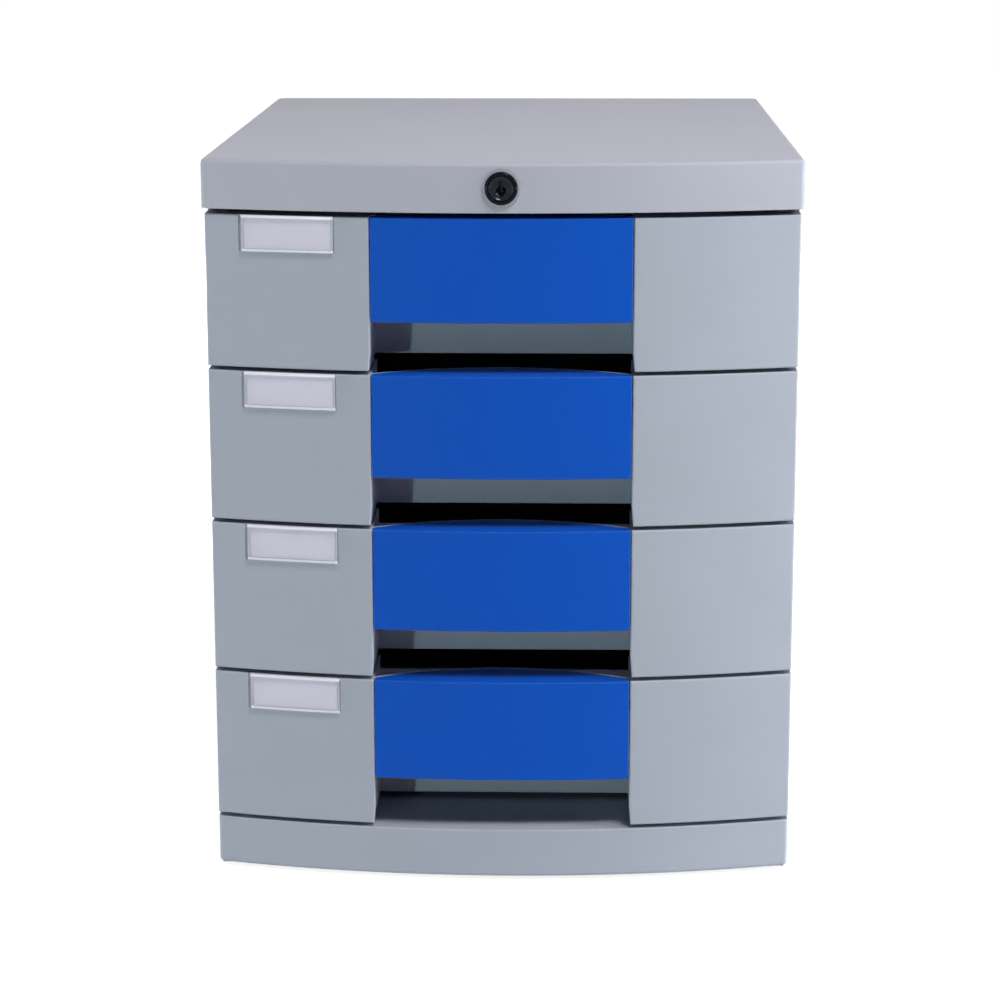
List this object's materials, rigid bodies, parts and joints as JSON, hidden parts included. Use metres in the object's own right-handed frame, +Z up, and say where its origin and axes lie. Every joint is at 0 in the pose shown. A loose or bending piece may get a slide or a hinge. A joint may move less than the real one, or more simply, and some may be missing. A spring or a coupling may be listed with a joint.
{
  "type": "desktop file drawer",
  "caption": "Desktop cabinet with sliding file drawers, bowed grey fronts with coloured pull inserts and label holders, and a key lock that bolts all drawers from behind.",
  "frame": {"origin": "middle of the part's box, on the surface that it stands on", "axes": "+Z up, +X to the right of a person who faces the drawers, -Y the way the drawers pull out"},
  "size_m": [0.303, 0.4026, 0.374],
  "materials": {
    "grey_plastic": "fine satin moulded plastic",
    "blue_plastic": "fine satin moulded plastic",
    "clear_plastic": "clear moulded plastic",
    "card": "uncoated paper card",
    "nylon": "natural moulded nylon",
    "rubber": "matt moulded rubber",
    "chrome": "polished plating",
    "dark_metal": "black plated, semi-gloss",
    "steel": "zinc plated steel"
  },
  "bodies": {
    "cabinet": {"top_cover": "grey_plastic", "base": "grey_plastic", "side_panel_left": "grey_plastic", "side_panel_right": "grey_plastic", "back_panel": "grey_plastic", "lock_housing": "chrome", "lock_nut": "steel", "bar_guide_upper": "nylon", "bar_guide_lower": "nylon", "foot_front_left": "rubber", "foot_rear_left": "rubber", "foot_front_right": "rubber", "foot_rear_right": "rubber", "cover_screw_left_1": "steel", "cover_screw_left_2": "steel", "cover_screw_right_1": "steel", "cover_screw_right_2": "steel", "base_screw_left_1": "steel", "base_screw_left_2": "steel", "base_screw_right_1": "steel", "base_screw_right_2": "steel", "back_screw_left_1": "steel", "back_screw_left_2": "steel", "back_screw_right_1": "steel", "back_screw_right_2": "steel"},
    "drawer_1": {"tray_1": "grey_plastic", "front_1": "grey_plastic", "handle_1": "blue_plastic", "label_holder_1": "clear_plastic", "label_card_1": "card", "front_screw_1_left": "steel", "front_screw_1_right": "steel"},
    "drawer_2": {"tray_2": "grey_plastic", "front_2": "grey_plastic", "handle_2": "blue_plastic", "label_holder_2": "clear_plastic", "label_card_2": "card", "front_screw_2_left": "steel", "front_screw_2_right": "steel"},
    "drawer_3": {"tray_3": "grey_plastic", "front_3": "grey_plastic", "handle_3": "blue_plastic", "label_holder_3": "clear_plastic", "label_card_3": "card", "front_screw_3_left": "steel", "front_screw_3_right": "steel"},
    "drawer_4": {"tray_4": "grey_plastic", "front_4": "grey_plastic", "handle_4": "blue_plastic", "label_holder_4": "clear_plastic", "label_card_4": "card", "front_screw_4_left": "steel", "front_screw_4_right": "steel"},
    "lock_turning": {"lock_plug": "dark_metal", "lock_rod": "steel", "lock_crank": "steel"},
    "locking_bar": {"locking_bar": "steel"}
  },
  "joints": [
    {"name": "drawer_1_slide", "type": "slide", "parent": "cabinet", "child": "drawer_1", "axis": [0, -1, 0], "range_m": [0, 0.24]},
    {"name": "drawer_2_slide", "type": "slide", "parent": "cabinet", "child": "drawer_2", "axis": [0, -1, 0], "range_m": [0, 0.24]},
    {"name": "drawer_3_slide", "type": "slide", "parent": "cabinet", "child": "drawer_3", "axis": [0, -1, 0], "range_m": [0, 0.24]},
    {"name": "drawer_4_slide", "type": "slide", "parent": "cabinet", "child": "drawer_4", "axis": [0, -1, 0], "range_m": [0, 0.24]},
    {"name": "lock_turn", "type": "hinge", "parent": "cabinet", "child": "lock_turning", "pos_m": [0, -0.19, 0.36152], "axis": [0, 1, 0], "range_deg": [0, 90]},
    {"name": "locking_bar_slide", "type": "slide", "parent": "cabinet", "child": "locking_bar", "axis": [0, 0, -1], "range_m": [0, 0.0085]}
  ],
  "couplings": [
    {"joint": "lock_turn", "follows": "locking_bar_slide", "rad_per_m": 184.75}
  ]
}
